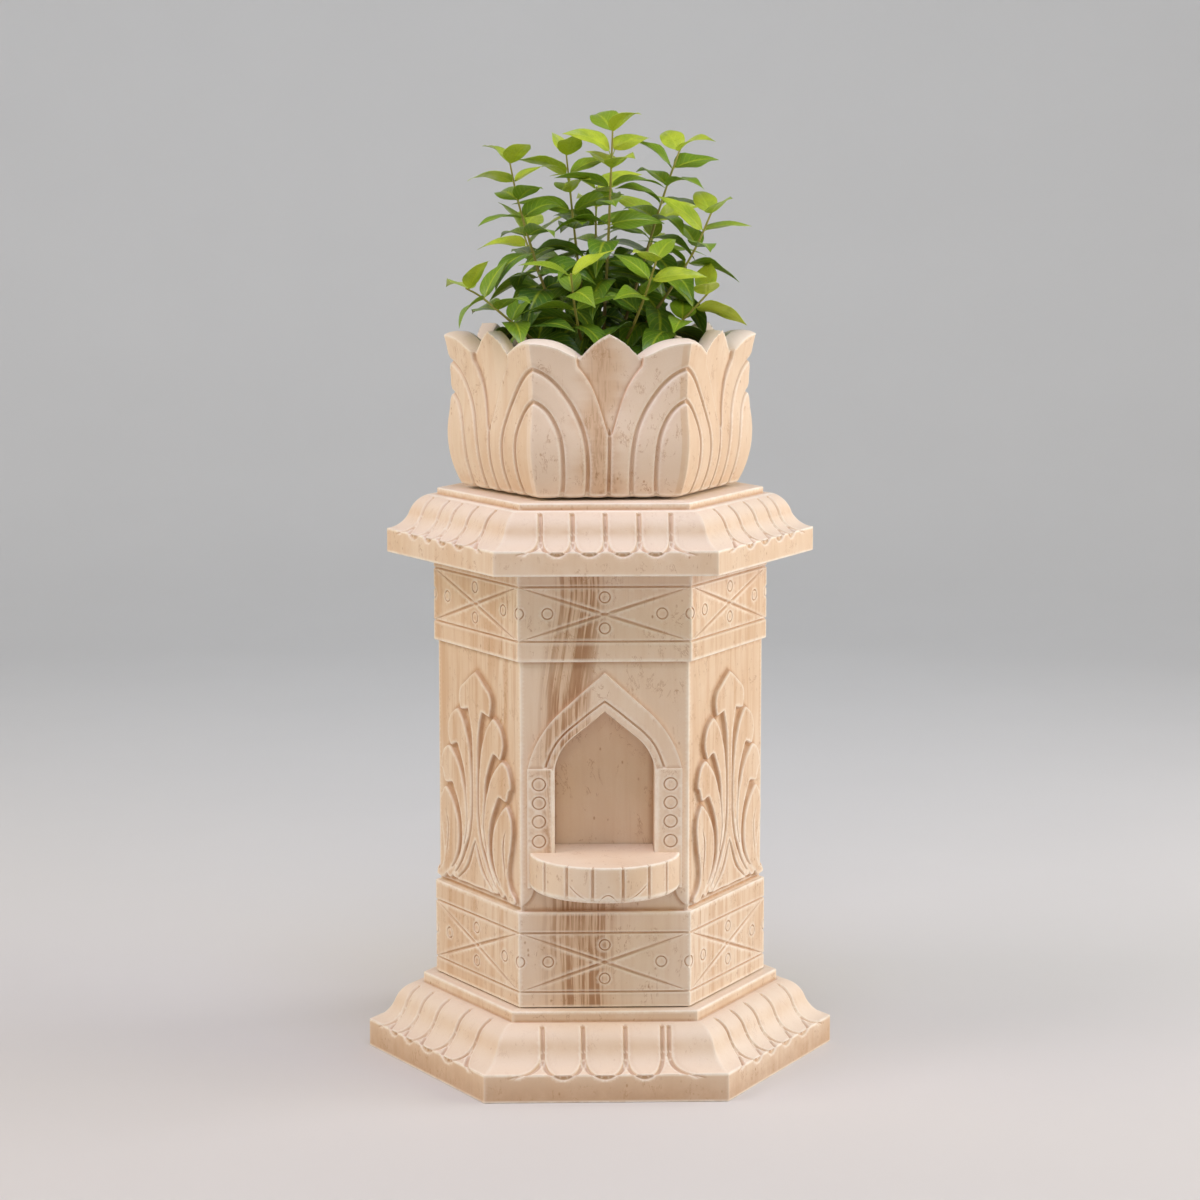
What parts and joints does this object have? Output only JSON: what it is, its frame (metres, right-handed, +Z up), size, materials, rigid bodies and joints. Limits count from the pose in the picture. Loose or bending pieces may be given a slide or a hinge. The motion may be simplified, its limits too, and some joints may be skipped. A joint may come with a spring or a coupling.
{
  "type": "tulsi vrindavan planter",
  "caption": "Carved hexagonal stone pedestal with a lamp niche and shelf, carrying a lotus-petal stone pot with a leafy holy-basil plant; the pot lifts off.",
  "frame": {"origin": "on the floor under the pedestal's axis, in the plane of the plinth's underside", "axes": "+Z up along the pedestal's axis, -Y out of the niche, +X to the right of someone who faces the niche"},
  "size_m": [0.58, 0.5138, 1.1651],
  "materials": {
    "stone": "honed cream stone with brown veins, tooled carving",
    "mortar": "matt, dark joint mortar",
    "steel": "plain stainless bar",
    "rubber": "matt black",
    "mesh": "matt moulded",
    "gravel": "washed gravel",
    "soil": "moist dark potting soil",
    "stem": "green-brown soft wood",
    "mature_leaf": "glossy dark green",
    "young_leaf": "glossy yellow-green"
  },
  "bodies": {
    "pedestal": {"base_plinth": "stone", "base_bedding": "mortar", "base_dowels": "steel", "column_shaft": "stone", "diya_shelf": "stone", "shelf_mortar": "mortar", "shelf_pins": "steel", "cornice_bedding": "mortar", "cornice_dowels": "steel", "cornice": "stone"},
    "pot": {"pot_pads": "rubber", "lotus_pot": "stone", "drain_mesh": "mesh", "gravel_bed": "gravel", "potting_soil": "soil", "tulsi_stems": "stem", "mature_leaves": "mature_leaf", "young_leaves": "young_leaf"}
  },
  "joints": [
    {"name": "pot_lift", "type": "slide", "parent": "pedestal", "child": "pot", "axis": [0, 0, 1], "range_m": [0, 0.15]}
  ]
}
